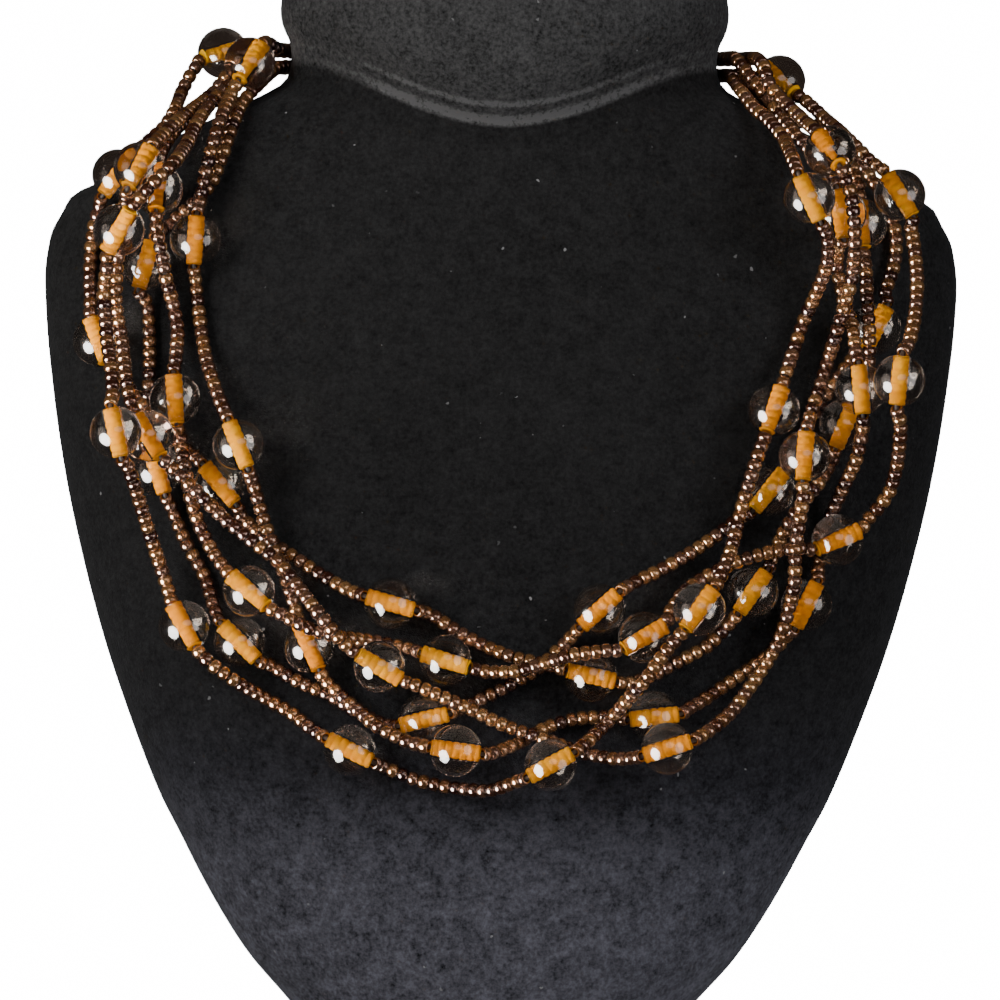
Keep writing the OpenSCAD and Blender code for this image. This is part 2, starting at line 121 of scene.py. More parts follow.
# Strand routes from the left of the neck to its right: x, height, 1 at a glass
# bead, and y only where it is given
ROUTES = (
    (
        (-46.3, 198, 0, 0.5), (-49.3, 194.8, 0, -4.6), (-52.5, 191, 0, -9.5), (-54.5, 185.5),
        (-56, 180.5), (-58, 175), (-61, 171), (-66, 166.5), (-71, 158, 1), (-70.5, 150),
        (-70, 143), (-70, 136.5), (-70.3, 130), (-70, 124.5), (-68, 117, 1), (-65, 109.5),
        (-62, 102.5), (-58, 95.5), (-56, 89.5), (-51, 83, 1), (-44.5, 78.3), (-38.5, 75),
        (-32.5, 72.5), (-27.5, 69.5), (-20.8, 66.8), (-14, 68.2, 1), (-7, 70.3), (-2, 72.7),
        (3.5, 75.6), (8.5, 78.7), (13.5, 83.3), (20.5, 90.5, 1), (26.5, 95.5), (32.5, 98.5),
        (38, 101.7), (43.3, 105.3), (48, 109), (54, 114.7, 1), (58, 122), (62.5, 129.5),
        (67, 136.5), (70.3, 141), (75, 147.3, 1), (76.8, 154.5), (78.7, 160.5), (79, 166),
        (77.3, 172), (74, 177.5), (70, 183), (65.5, 186.5, 0, -1), (61.5, 188.7, 0, 3),
        (57, 190, 0, 6), (53, 192.5, 0, 9),
    ),
    (
        (-56.8, 201.5, 1, 9.2), (-62.3, 198.3, 0, 4.5), (-64.8, 193.5, 0, 2), (-66, 189.5),
        (-68, 186), (-71.5, 182.5), (-77, 176, 1), (-80.7, 169.5), (-82, 163.5), (-82.3, 157.5),
        (-82, 151.5), (-80.2, 142.7, 1), (-76.5, 136.5), (-72, 131), (-67, 125.8), (-62, 121),
        (-55.4, 114.3, 1), (-51, 108), (-46.5, 104), (-41, 100.5), (-35.5, 97), (-29, 93.5),
        (-21, 91.2, 1), (-13.5, 89.3), (-8, 86), (-3, 83.3), (3, 81), (10, 79.5), (19, 77.4, 1),
        (26.5, 76), (32, 78), (37, 80.7), (42, 83.5), (45.5, 87), (51, 94.5, 1), (54.7, 101),
        (57, 106.5), (60, 111.5), (64, 116.5), (66.8, 121.3), (69, 128, 1), (72, 134.5),
        (73.5, 140.5), (73.5, 147), (73, 153), (72.7, 159.5), (71.8, 168, 1), (71.2, 176),
        (69, 182), (65, 187, 0, -5.5), (60, 189.3, 0, -5), (54, 192.3, 0, -6.3),
        (50.3, 195.7, 0, -3.5), (48.6, 196, 0, -0.5),
    ),
    (
        (-45.6, 202.2, 0, 0), (-48.2, 203.4, 0, -5), (-51, 199, 1, -10.5),
        (-54.5, 192.8, 0, -13), (-56.5, 187.5), (-58, 182), (-59.3, 176.5), (-60.3, 171),
        (-61.1, 163, 1), (-61, 155), (-60.3, 149.5), (-59.5, 144), (-58.3, 138.5), (-55.5, 131),
        (-51.7, 122.3, 1), (-48.7, 114.5), (-46.5, 107.5), (-44.3, 101.5), (-42, 96),
        (-40.2, 90.5), (-37, 82.3, 1), (-33.5, 75.5), (-28.5, 71), (-23.5, 67), (-17, 63.8),
        (-7.6, 62.3, 1), (-0.5, 61.8), (5.5, 64.2), (10.5, 67), (16, 68.7), (22.5, 69.3),
        (31.7, 69.4, 1), (39, 71.3), (44, 74.5), (49, 78), (54, 81.5), (58, 85.7),
        (61.8, 92, 1), (64, 98.7), (65, 104.5), (66.5, 110), (69, 116), (71.3, 121.5),
        (72.3, 127), (71.8, 135, 1), (70.8, 142.5), (69.8, 148.5), (68, 154), (67, 159.5),
        (67, 163.5), (67.4, 170, 1), (65, 176.5), (62, 182, 0, -22.5), (58, 186.7, 0, -17.6),
        (55, 190.8, 0, -11), (52, 195, 0, -9.5), (48.8, 198.9, 0, -6.2), (46.4, 201.7, 0, -1),
    ),
    (
        (-52.5, 198, 0, 4), (-53.8, 196.5, 0, 1.5), (-58, 192, 0, 0), (-62.5, 188.3, 0, -5),
        (-66.3, 184.5, 0, -15.7), (-68.3, 180.5, 0, -20.5), (-68.8, 173, 1), (-68.8, 165.5),
        (-67.7, 160), (-66.7, 155), (-65.3, 150), (-64.3, 145), (-64.5, 139), (-64.5, 131.2, 1),
        (-63.3, 123.5), (-62.3, 117.5), (-61, 111.5), (-59, 105.5), (-55.5, 99.5),
        (-49.1, 93.2, 1), (-42.5, 88.7), (-37, 86), (-30.5, 84.4), (-24, 83.6), (-17.5, 82.3),
        (-9.9, 80, 1), (-2.5, 78), (3.5, 78), (9, 79.5), (15, 81.5), (21.5, 82.5),
        (29.4, 85.2, 1), (34, 89.7), (37, 94), (41.5, 97.3), (47.5, 100.3), (53.5, 102.3),
        (60, 103.3), (67.7, 105, 1), (74, 109.5), (77.8, 114.5), (79.3, 120.5), (79.7, 128),
        (79.2, 136.8, 1), (81.2, 144.5), (82.4, 150.5), (82.8, 157), (82.3, 163), (81.5, 168),
        (79.3, 174, 1), (73.5, 180.7), (68.8, 185.5), (64.5, 189.7, 0, -8.5), (61, 193, 0, -4),
        (55.6, 197.3, 1, 1),
    ),
    (
        (-50.6, 201.4, 0, 2), (-52.5, 200.1, 0, -0.5), (-54.7, 198, 0, -2.2),
        (-58.5, 193, 0, -4), (-63, 189, 0, -14.5), (-67, 184.7, 0, -26.5), (-72.2, 177, 1),
        (-74.8, 170), (-75.5, 164.5), (-76.5, 159), (-76.8, 153.5), (-76.5, 148.5),
        (-75.5, 143.5), (-74.8, 138.5), (-73.5, 131.7), (-69.6, 123.7, 1), (-64, 116.8),
        (-59, 112), (-54, 107.3), (-48.5, 103), (-43.3, 99), (-39.5, 94.5), (-35.5, 89.5),
        (-30.3, 83.5), (-23, 78.6, 1), (-16, 75.2), (-10, 72.7), (-4.5, 70.3), (1, 67.7),
        (6.5, 65.8), (12, 64), (17.5, 62), (25, 61), (34.3, 63.3, 1), (42, 66.5), (47, 70.6),
        (50.7, 75.5), (54, 80.5), (56.7, 86), (58.3, 91.5), (59.2, 97), (59.2, 103), (60, 109),
        (60.7, 114), (60.8, 121.6, 1), (61.8, 129.3), (63.7, 135), (65.3, 140.5), (66.8, 146),
        (68.2, 151), (69.7, 156.5), (70.2, 162), (70, 168), (69, 174.5), (65, 182.3, 1),
        (59.8, 189, 0, -22), (56.3, 192.5, 0, -14.5), (53.3, 196, 0, -12.5),
        (52.2, 199.8, 0, -9.5), (51, 201.5, 0, -4.5), (49.9, 201.7, 0, -0.5),
    ),
    (
        (-49.3, 198.4, 0, 2), (-52, 196.4, 0, -3.3), (-55.2, 194.6, 0, -6.8),
        (-58.8, 190.5, 0, -13), (-61.5, 186, 0, -21), (-63, 182, 0, -29.5),
        (-65.3, 178, 0, -40.3), (-70, 173, 0, -43.3), (-76, 164.5, 1), (-78.3, 157.5),
        (-79, 152), (-78.5, 147), (-78, 142), (-77, 137), (-76.5, 132), (-75.8, 124.3, 1),
        (-73.3, 117.5), (-71.5, 112), (-69.8, 106.5), (-68, 101), (-65.8, 94.5), (-62, 86, 1),
        (-57.5, 79.5), (-52, 75.5), (-46, 72), (-40.5, 69), (-36, 65.7), (-28.7, 61.9, 1),
        (-21.5, 58.5), (-15, 56), (-8, 54.7), (-1, 54.3), (4.5, 56.3), (11.2, 59.7, 1),
        (18, 64), (22.5, 68.3), (26, 72.5), (29.8, 77), (33.5, 82.3), (40.2, 91, 1),
        (44.3, 97.5), (46.5, 103), (47.8, 108.5), (49.2, 114), (51.3, 121), (54.7, 130.7, 1),
        (57, 138), (58.8, 143.5), (60.7, 149), (63, 154.5), (64.8, 160), (64.7, 165.5),
        (61, 172.8, 1), (58, 179.7), (56, 185, 0, -26), (53, 189, 0, -18),
        (50.3, 191.3, 0, -13), (48.2, 194.2, 0, -8.3), (46.4, 196.7, 0, -3.2),
        (45.9, 198, 0, -1),
    ),
)

# Places behind the neck: layer, row and last turn, at the left and at the right
BACK_PLACES = (
    (0, 1, 80, 2, 1, 70), (2, 0, 70, 1, 1, 80), (0, 0, 80, 0, 0, 80),
    (2, 1, 80, 2, 0, 80), (1, 0, 80, 1, 0, 80), (1, 1, 80, 0, 1, 80),
)
BACK_TURNS = (18, 30, 42, 54, 66, 78)
BACK_HEIGHT = 202
SIDE_HEIGHTS = {-1: 202.3, 1: 201.7}
SIDE_TURN = 90
WIDTH_SCALE = BUST_W / 184
HEIGHT_SCALE = BUST_H / 232


# The bust's form and the places round its neck

def share(z, column):
    """A column of BUST_SECTIONS at height z, straight between two sections."""
    s = min(max(z / BUST_H, 0), 1)
    for a, b in zip(BUST_SECTIONS, BUST_SECTIONS[1:]):
        if s <= b[0]:
            t = (s - a[0]) / (b[0] - a[0])
            return a[column] + (b[column] - a[column]) * t
    return BUST_SECTIONS[-1][column]


def half_width(z):
    return BUST_W / 2 * share(z, 1)


def front_depth(z):
    return CHEST_DEPTH * share(z, 2)


def back_reach(z):
    return BACK_DEPTH * share(z, 3)


def clear_width(z, r):
    slope = abs(half_width(z + 2) - half_width(z - 2)) / 4
    return half_width(z) + r * math.sqrt(1 + slope ** 2)


def front_y(x, z, r):
    """Depth at which a ball of radius r rests on the bust's front."""
    return -(front_depth(z) + r) * math.sqrt(max(0, 1 - (x / clear_width(z, r)) ** 2))


def back_point(side, turn, layer, row):
    """A point behind the neck, at a turn from straight back."""
    height = BACK_HEIGHT + (SIDE_HEIGHTS[side] - BACK_HEIGHT) * turn / SIDE_TURN
    z = height * HEIGHT_SCALE - row * ROW_PITCH
    out = SEED_R + BACK_GAP + layer * LAYER_PITCH
    a = math.radians(turn)
    return Vector((
        side * (half_width(z) + out) * math.sin(a), (back_reach(z) + out) * math.cos(a), z))


# How the strands lie

def strand_nodes(k):
    """Nodes of one strand, clasp to clasp: x, height, bead mark and y where it is known."""
    def behind(side, layer, row, last):
        q = back_point(side, 0, layer, row)
        nodes = [(side * (CLASP_LEN / 2 + END_GAP), q.z, 0, q.y)]
        for turn in BACK_TURNS:
            if turn < last:
                q = back_point(side, turn, layer, row)
                nodes.append((q.x, q.z, 0, q.y))
        return nodes

    place = BACK_PLACES[k]
    route = [
        (row[0] * WIDTH_SCALE, row[1] * HEIGHT_SCALE,
         row[2] if len(row) > 2 else 0, row[3] if len(row) > 3 else None)
        for row in ROUTES[k]]
    return behind(-1, *place[:3]) + route + behind(1, *place[3:])[::-1]


def over_piece(x, z, r, piece):
    """Depth that keeps a ball in front of one laid piece, or None where it is clear of it."""
    (ax, ay, az), (bx, by, bz), laid_r = piece
    dx, dz = bx - ax, bz - az
    square = dx * dx + dz * dz
    t = 0 if square < 0.0001 else min(1, max(0, ((x - ax) * dx + (z - az) * dz) / square))
    d = math.hypot(ax + dx * t - x, az + dz * t - z)
    reach = r + laid_r + OVER_GAP
    return None if d >= reach else ay + (by - ay) * t - math.sqrt(reach * reach - d * d)


def over_all(x, z, r, laid):
    depths = [over_piece(x, z, r, piece) for piece in laid]
    return min([front_y(x, z, BALL_REST * r + STRAND_GAP)] + [d for d in depths if d is not None])


def node_need(nodes, i, laid):
    """Depth of a node that clears the bust and what is laid, there and towards both neighbours."""
    x, z, mark, y = nodes[i]
    if y is not None:
        return y
    needs = [over_all(x, z, GLASS_R if mark else SEED_R, laid)]
    for other in (nodes[i - 1], nodes[i + 1]):
        for t in NEIGHBOUR_STEPS:
            needs.append(over_all(x + (other[0] - x) * t, z + (other[1] - z) * t, SEED_R, laid))
    return min(needs)


def eased(nodes, needs):
    """The depths with no step steeper than the rise slope."""
    depths = []
    for i, (node, need) in enumerate(zip(nodes, needs)):
        if i and node[3] is None:
            before = nodes[i - 1]
            run = math.hypot(node[0] - before[0], node[1] - before[1])
            if node[2] or before[2]:
                run -= GLASS_SHARE * SPAN_HALF
            need = min(need, depths[-1] + RISE_SLOPE * run)
        depths.append(need)
    return depths


def lay_strands():
    """The strands as lists of (place, bead mark), laid one over the other."""
    laid, strands = [], []
    for k in range(len(ROUTES)):
        nodes = strand_nodes(k)
        needs = eased(nodes, [node_need(nodes, i, laid) for i in range(len(nodes))])
        needs = eased(nodes[::-1], needs[::-1])[::-1]
        places = [Vector((n[0], y, n[1])) for n, y in zip(nodes, needs)]
        laid += [(a, b, SEED_R) for a, b in zip(places, places[1:])]
        laid += [(p, p, GLASS_R) for p, n in zip(places, nodes) if n[2]]
        strands.append([(p, n[2]) for p, n in zip(places, nodes)])
    return strands


def thread_direction(places, i):
    return (places[min(i + 1, len(places) - 1)] - places[max(i - 1, 0)]).normalized()


def seed_runs(strand):
    """The stretches of a strand between its glass beads, as lists of (place, direction)."""
    places = [p for p, mark in strand]
    runs, run = [], []
    for i, (p, mark) in enumerate(strand):
        t = thread_direction(places, i)
        if mark:
            runs.append(run + [(p - t * SPAN_HALF, t)])
            run = [(p + t * SPAN_HALF, t)]
        else:
            run.append((p, t))
    return [r for r in runs + [run] if len(r) > 1]


def drawn_through(run, ease=0.6, steps=10):
    """Points of a smooth thread through a run's places."""
    points = [run[0][0]]
    for (a, ta), (b, tb) in zip(run, run[1:]):
        length = (b - a).length * ease
        for s in range(1, steps + 1):
            t = s / steps
            points.append(
                a * (2 * t ** 3 - 3 * t ** 2 + 1) + ta * length * (t ** 3 - 2 * t ** 2 + t)
                + b * (3 * t ** 2 - 2 * t ** 3) + tb * length * (t ** 3 - t ** 2))
    return points


def shortened(points, cut):
    """The points of a path with a length cut off at both ends."""
    for _ in range(2):
        left = cut
        while len(points) > 2 and (points[1] - points[0]).length <= left:
            left -= (points[1] - points[0]).length
            points = points[1:]
        points = [points[0] + (points[1] - points[0]).normalized() * left] + points[1:]
        points = points[::-1]
    return points


# Meshes and node trees

def new_object(name, data):
    """A linked object at the origin that holds the data."""
    obj = bpy.data.objects.new(name, data)
    bpy.context.scene.collection.objects.link(obj)
    return obj


def turned_form(name, profile, sides):
    """A form turned about z from a closed outline of (radius, z), its last face ring the bore."""
    mesh = bpy.data.meshes.new(name)
    turns = [2 * math.pi * j / sides for j in range(sides)]
    rings = [
        [(r * MM * math.cos(a), r * MM * math.sin(a), z * MM) for a in turns] for r, z in profile]
    count = len(rings)
    faces = []
    for i in range(count):
        a, b = i * sides, (i + 1) % count * sides
        for j in range(sides):
            k = (j + 1) % sides
            faces.append((a + j, a + k, b + k, b + j))
    mesh.from_pydata([v for ring in rings for v in ring], [], faces)
    mesh.update()
    shape = bmesh.new()
    shape.from_mesh(mesh)
    bmesh.ops.recalc_face_normals(shape, faces=shape.faces)
    shape.to_mesh(mesh)
    shape.free()
    bore = mesh.attributes.new("bore", "BOOLEAN", "FACE")
    for i, item in enumerate(bore.data):
        item.value = i >= (count - 1) * sides
    mesh.shade_smooth()
    return new_object(name, mesh)


def seed_outline():
    """Outline of a seed bead: a rounded ring with a plain hole."""
    middle, half = (SEED_R + SEED_HOLE_D / 2) / 2, (SEED_R - SEED_HOLE_D / 2) / 2
    outline = []
    for step in range(SEED_OUTLINE_STEPS):
        a = 2 * math.pi * (step + 0.5) / SEED_OUTLINE_STEPS
        outline.append((
            middle + half * SEED_PLUMPNESS * math.cos(a),
            SEED_LEN / 2 * SEED_STRETCH * math.sin(a)))
    return outline


def glass_outline(steps=18):
    """Outline of a round bead, pole to pole, open at the hole."""
    hole = GLASS_HOLE_D / 2
    start = math.asin(hole / GLASS_R)
    outline = []
    for i in range(steps + 1):
        a = start + (math.pi - 2 * start) * i / steps
        outline.append((GLASS_R * math.sin(a), -GLASS_R * math.cos(a)))
    return outline


def core_outline():
    """Outline of the ribbed core: rounded rings with narrow grooves, and a thread hole."""
    ring = CORE_LEN / CORE_RINGS
    outline = []
    for i in range(CORE_RINGS):
        z = i * ring - CORE_LEN / 2
        for t, depth in RIB_SHAPE:
            outline.append((CORE_D / 2 - GROOVE_DEPTH * depth, z + ring * t))
    end, hole = CORE_D / 2 - GROOVE_DEPTH, THREAD_D / 2 + HOLE_CLEARANCE
    return outline + [
        (end, CORE_LEN / 2), (hole, CORE_LEN / 2), (hole, -CORE_LEN / 2), (end, -CORE_LEN / 2)]


def add(tree, kind, sources=None, **settings):
    """A node with its settings, and its inputs set to values or linked to sockets."""
    node = tree.nodes.new(kind)
    for key, value in settings.items():
        setattr(node, key, value)
    for key, value in (sources or {}).items():
        socket = node.inputs[key]
        if isinstance(value, bpy.types.NodeSocket):
            tree.links.new(value, socket)
        else:
            socket.default_value = value
    return node


def piece_tree(name, inputs):
    """A geometry tree with a Geometry socket and named inputs."""
    tree = bpy.data.node_groups.new(name, "GeometryNodeTree")
    tree.interface.new_socket("Geometry", in_out="INPUT", socket_type="NodeSocketGeometry")
    for label, kind, value in inputs:
        socket = tree.interface.new_socket(label, in_out="INPUT", socket_type=kind)
        if value is not None:
            socket.default_value = value
    tree.interface.new_socket("Geometry", in_out="OUTPUT", socket_type="NodeSocketGeometry")
    return tree, tree.nodes.new("NodeGroupInput").outputs, tree.nodes.new("NodeGroupOutput").inputs


def drawn(tree, low, high, seed):
    """A number between two limits, drawn anew for each bead."""
    return add(tree, "FunctionNodeRandomValue", {
        2: low, 3: high, "Seed": seed}, data_type="FLOAT").outputs[1]


def aligned(tree, direction):
    """The rotation that lays a form's z axis along a direction."""
    return add(tree, "FunctionNodeAlignRotationToVector", {
        "Vector": direction}, axis="Z").outputs[0]


def spun_and_toned(tree, instances, seed, tone_shift):
    """Instances spun about their own thread, given a tone each, and made real."""
    about = add(tree, "ShaderNodeCombineXYZ", {"Z": drawn(tree, 0.0, 2 * math.pi, seed)})
    turned = add(tree, "GeometryNodeRotateInstances", {
        "Instances": instances, "Rotation": about.outputs[0]})
    tone_seed = add(tree, "ShaderNodeMath", {0: seed, 1: tone_shift}, operation="ADD")
    marked = add(tree, "GeometryNodeStoreNamedAttribute", {
        "Geometry": turned.outputs[0], "Name": "tone",
        "Value": drawn(tree, 0.0, 1.0, tone_seed.outputs[0])}, data_type="FLOAT", domain="INSTANCE")
    return add(tree, "GeometryNodeRealizeInstances", {"Geometry": marked.outputs[0]}).outputs[0]


def strung_tree():
    """Seed beads set along a thread, each turned and sized a little differently."""
    tree, given, result = piece_tree("seed beads on a thread", (
        ("Bead Form", "NodeSocketObject", None), ("Pitch", "NodeSocketFloat", SEED_PITCH * MM),
        ("Size Variation", "NodeSocketFloat", SEED_SIZE_SPREAD), ("Seed", "NodeSocketInt", 1),
        ("Finish", "NodeSocketMaterial", None)))
    path = add(tree, "GeometryNodeResampleCurve", {
        "Curve": given["Geometry"], "Length": given["Pitch"]}, mode="LENGTH")
    form = add(tree, "GeometryNodeObjectInfo", {"Object": given["Bead Form"]})
    points = add(tree, "GeometryNodeCurveToPoints", {"Curve": path.outputs[0]}, mode="EVALUATED")
    least = add(tree, "ShaderNodeMath", {0: 1.0, 1: given["Size Variation"]}, operation="SUBTRACT")
    placed = add(tree, "GeometryNodeInstanceOnPoints", {
        "Points": points.outputs["Points"], "Instance": form.outputs["Geometry"],
        "Rotation": aligned(tree, points.outputs["Tangent"]),
        "Scale": drawn(tree, least.outputs[0], 1.0, given["Seed"])})
    real = spun_and_toned(tree, placed.outputs[0], given["Seed"], SEED_TONE_SHIFT)
    done = add(tree, "GeometryNodeSetMaterial", {"Geometry": real, "Material": given["Finish"]})
    tree.links.new(done.outputs[0], result["Geometry"])
    return tree


def placed_tree():
    """One form set at each point, its z axis along the point's thread direction."""
    tree, given, result = piece_tree("forms at the glass beads", (
        ("Form", "NodeSocketObject", None), ("Seed", "NodeSocketInt", 1),
        ("Finish", "NodeSocketMaterial", None), ("Bore Finish", "NodeSocketMaterial", None)))
    form = add(tree, "GeometryNodeObjectInfo", {"Object": given["Form"]})
    points = add(tree, "GeometryNodeMeshToPoints", {"Mesh": given["Geometry"]})
    direction = add(tree, "GeometryNodeInputNamedAttribute", {
        "Name": "direction"}, data_type="FLOAT_VECTOR")
    placed = add(tree, "GeometryNodeInstanceOnPoints", {
        "Points": points.outputs[0], "Instance": form.outputs["Geometry"],
        "Rotation": aligned(tree, direction.outputs[0])})
    real = spun_and_toned(tree, placed.outputs[0], given["Seed"], BEAD_TONE_SHIFT)
    outer = add(tree, "GeometryNodeSetMaterial", {"Geometry": real, "Material": given["Finish"]})
    bore = add(tree, "GeometryNodeInputNamedAttribute", {"Name": "bore"}, data_type="BOOLEAN")
    done = add(tree, "GeometryNodeSetMaterial", {
        "Geometry": outer.outputs[0], "Selection": bore.outputs[0],
        "Material": given["Bore Finish"]})
    tree.links.new(done.outputs[0], result["Geometry"])
    return tree


def grown(name, base, tree, values):
    """A plain mesh piece of what a tree makes of the base object."""
    modifier = base.modifiers.new(name, "NODES")
    modifier.node_group = tree
    sockets = {
        item.name: item.identifier for item in tree.interface.items_tree if item.in_out == "INPUT"}
    for label, value in values.items():
        modifier[sockets[label]] = value
    seen = base.evaluated_get(bpy.context.evaluated_depsgraph_get())
    mesh = bpy.data.meshes.new_from_object(seen)
    mesh.name = name
    base.modifiers.remove(modifier)
    bpy.data.objects.remove(base)
    mesh.shade_smooth()
    return new_object(name, mesh)


def threads(name, paths):
    """A curve object with one straight-cornered spline for each path."""
    curve = bpy.data.curves.new(name, "CURVE")
    curve.dimensions = "3D"
    for path in paths:
        spline = curve.splines.new("POLY")
        spline.points.add(len(path) - 1)
        for point, p in zip(spline.points, path):
            point.co = (p.x * MM, p.y * MM, p.z * MM, 1)
    return new_object(name, curve)


def marks(name, beads):
    """A mesh of bare points with the thread's direction at each."""
    mesh = bpy.data.meshes.new(name)
    mesh.from_pydata([p * MM for p, t in beads], [], [])
    column = mesh.attributes.new("direction", "FLOAT_VECTOR", "POINT")
    for item, (p, t) in zip(column.data, beads):
        item.vector = t
    return new_object(name, mesh)


# Finishes

def soft_variation():
    """Shader group: a smooth mask and fine grain in the piece's own place."""
    tree = bpy.data.node_groups.new("soft variation", "ShaderNodeTree")
    for label, value in (("Patch Scale", 20.0), ("Grain Scale", 900.0), ("Contrast", 0.5)):
        socket = tree.interface.new_socket(label, in_out="INPUT", socket_type="NodeSocketFloat")
        socket.default_value = value
    tree.interface.new_socket("Patches", in_out="OUTPUT", socket_type="NodeSocketFloat")
    tree.interface.new_socket("Grain", in_out="OUTPUT", socket_type="NodeSocketFloat")
    given = tree.nodes.new("NodeGroupInput").outputs
    result = tree.nodes.new("NodeGroupOutput").inputs
    place = add(tree, "ShaderNodeTexCoord").outputs["Object"]
    patches = add(tree, "ShaderNodeTexNoise", {
        "Vector": place, "Scale": given["Patch Scale"], "Detail": 4.0, "Roughness": 0.6})
    low = add(tree, "ShaderNodeMath", {0: 0.5, 1: given["Contrast"]}, operation="SUBTRACT")
    high = add(tree, "ShaderNodeMath", {0: 0.5, 1: given["Contrast"]}, operation="ADD")
    spread = add(tree, "ShaderNodeMapRange", {
        "Value": patches.outputs[0], "From Min": low.outputs[0], "From Max": high.outputs[0]})
    grain = add(tree, "ShaderNodeTexNoise", {
        "Vector": place, "Scale": given["Grain Scale"], "Detail": 2.0, "Roughness": 0.7})
    tree.links.new(spread.outputs[0], result["Patches"])
    tree.links.new(grain.outputs[0], result["Grain"])
    return tree


VARIATION = soft_variation()


def finish_base(name, **values):
    """A material with a Principled shader set to constants, and its tree."""
    material = bpy.data.materials.new(name)
    material.use_nodes = True
    tree = material.node_tree
    shader = tree.nodes["Principled BSDF"]
    for key, value in values.items():
        shader.inputs[key.replace("_", " ")].default_value = value
    return material, tree, shader


def varied(tree, patch_scale, grain_scale, contrast):
    """The soft variation group at its own scales."""
    return add(tree, "ShaderNodeGroup", {
        "Patch Scale": patch_scale, "Grain Scale": grain_scale, "Contrast": contrast},
        node_tree=VARIATION)


def mixed(tree, factor, a, b):
    """Colour a where the factor is 0 and colour b where it is 1."""
    node = add(tree, "ShaderNodeMix", data_type="RGBA")
    for index, value in ((0, factor), (6, a), (7, b)):
        if isinstance(value, bpy.types.NodeSocket):
            tree.links.new(value, node.inputs[index])
        else:
            node.inputs[index].default_value = value
    return node.outputs[2]


def ramp(tree, source, stops):
    """The colour at a value between (place, colour) stops."""
    node = add(tree, "ShaderNodeValToRGB", {"Fac": source})
    band = node.color_ramp
    while len(band.elements) < len(stops):
        band.elements.new(0.5)
    for element, (place, colour) in zip(band.elements, stops):
        element.position = place
        element.color = colour
    return node.outputs["Color"]


def coloured(tree, shader, colour):
    tree.links.new(colour, shader.inputs["Base Color"])


def bumped(tree, shader, height, strength, distance):
    bump = add(tree, "ShaderNodeBump", {
        "Height": height, "Strength": strength, "Distance": distance})
    tree.links.new(bump.outputs[0], shader.inputs["Normal"])


def zone(tree, source, stops):
    """A factor that follows a value through (place, factor) stops, smoothly between them."""
    first, last = stops[0][0], stops[-1][0]
    node = add(tree, "ShaderNodeFloatCurve", {"Value": add(tree, "ShaderNodeMapRange", {
        "Value": source, "From Min": first, "From Max": last}).outputs[0]})
    curve = node.mapping.curves[0]
    while len(curve.points) < len(stops):
        curve.points.new(0.5, 0.5)
    for point, (place, factor) in zip(curve.points, stops):
        point.location = ((place - first) / (last - first), factor)
    node.mapping.update()
    return node.outputs[0]


def maths(tree, operation, *sources):
    """The result of one sum on values or sockets."""
    return add(tree, "ShaderNodeMath", dict(enumerate(sources)), operation=operation).outputs[0]


def pale_line(tree, rise, height, half, strength):
    """A soft line round the form at one height."""
    away = maths(tree, "ABSOLUTE", maths(tree, "SUBTRACT", rise, height))
    return add(tree, "ShaderNodeMapRange", {
        "Value": away, "From Min": 0.0, "From Max": half, "To Min": strength, "To Max": 0.0},
        interpolation_type="SMOOTHSTEP").outputs[0]


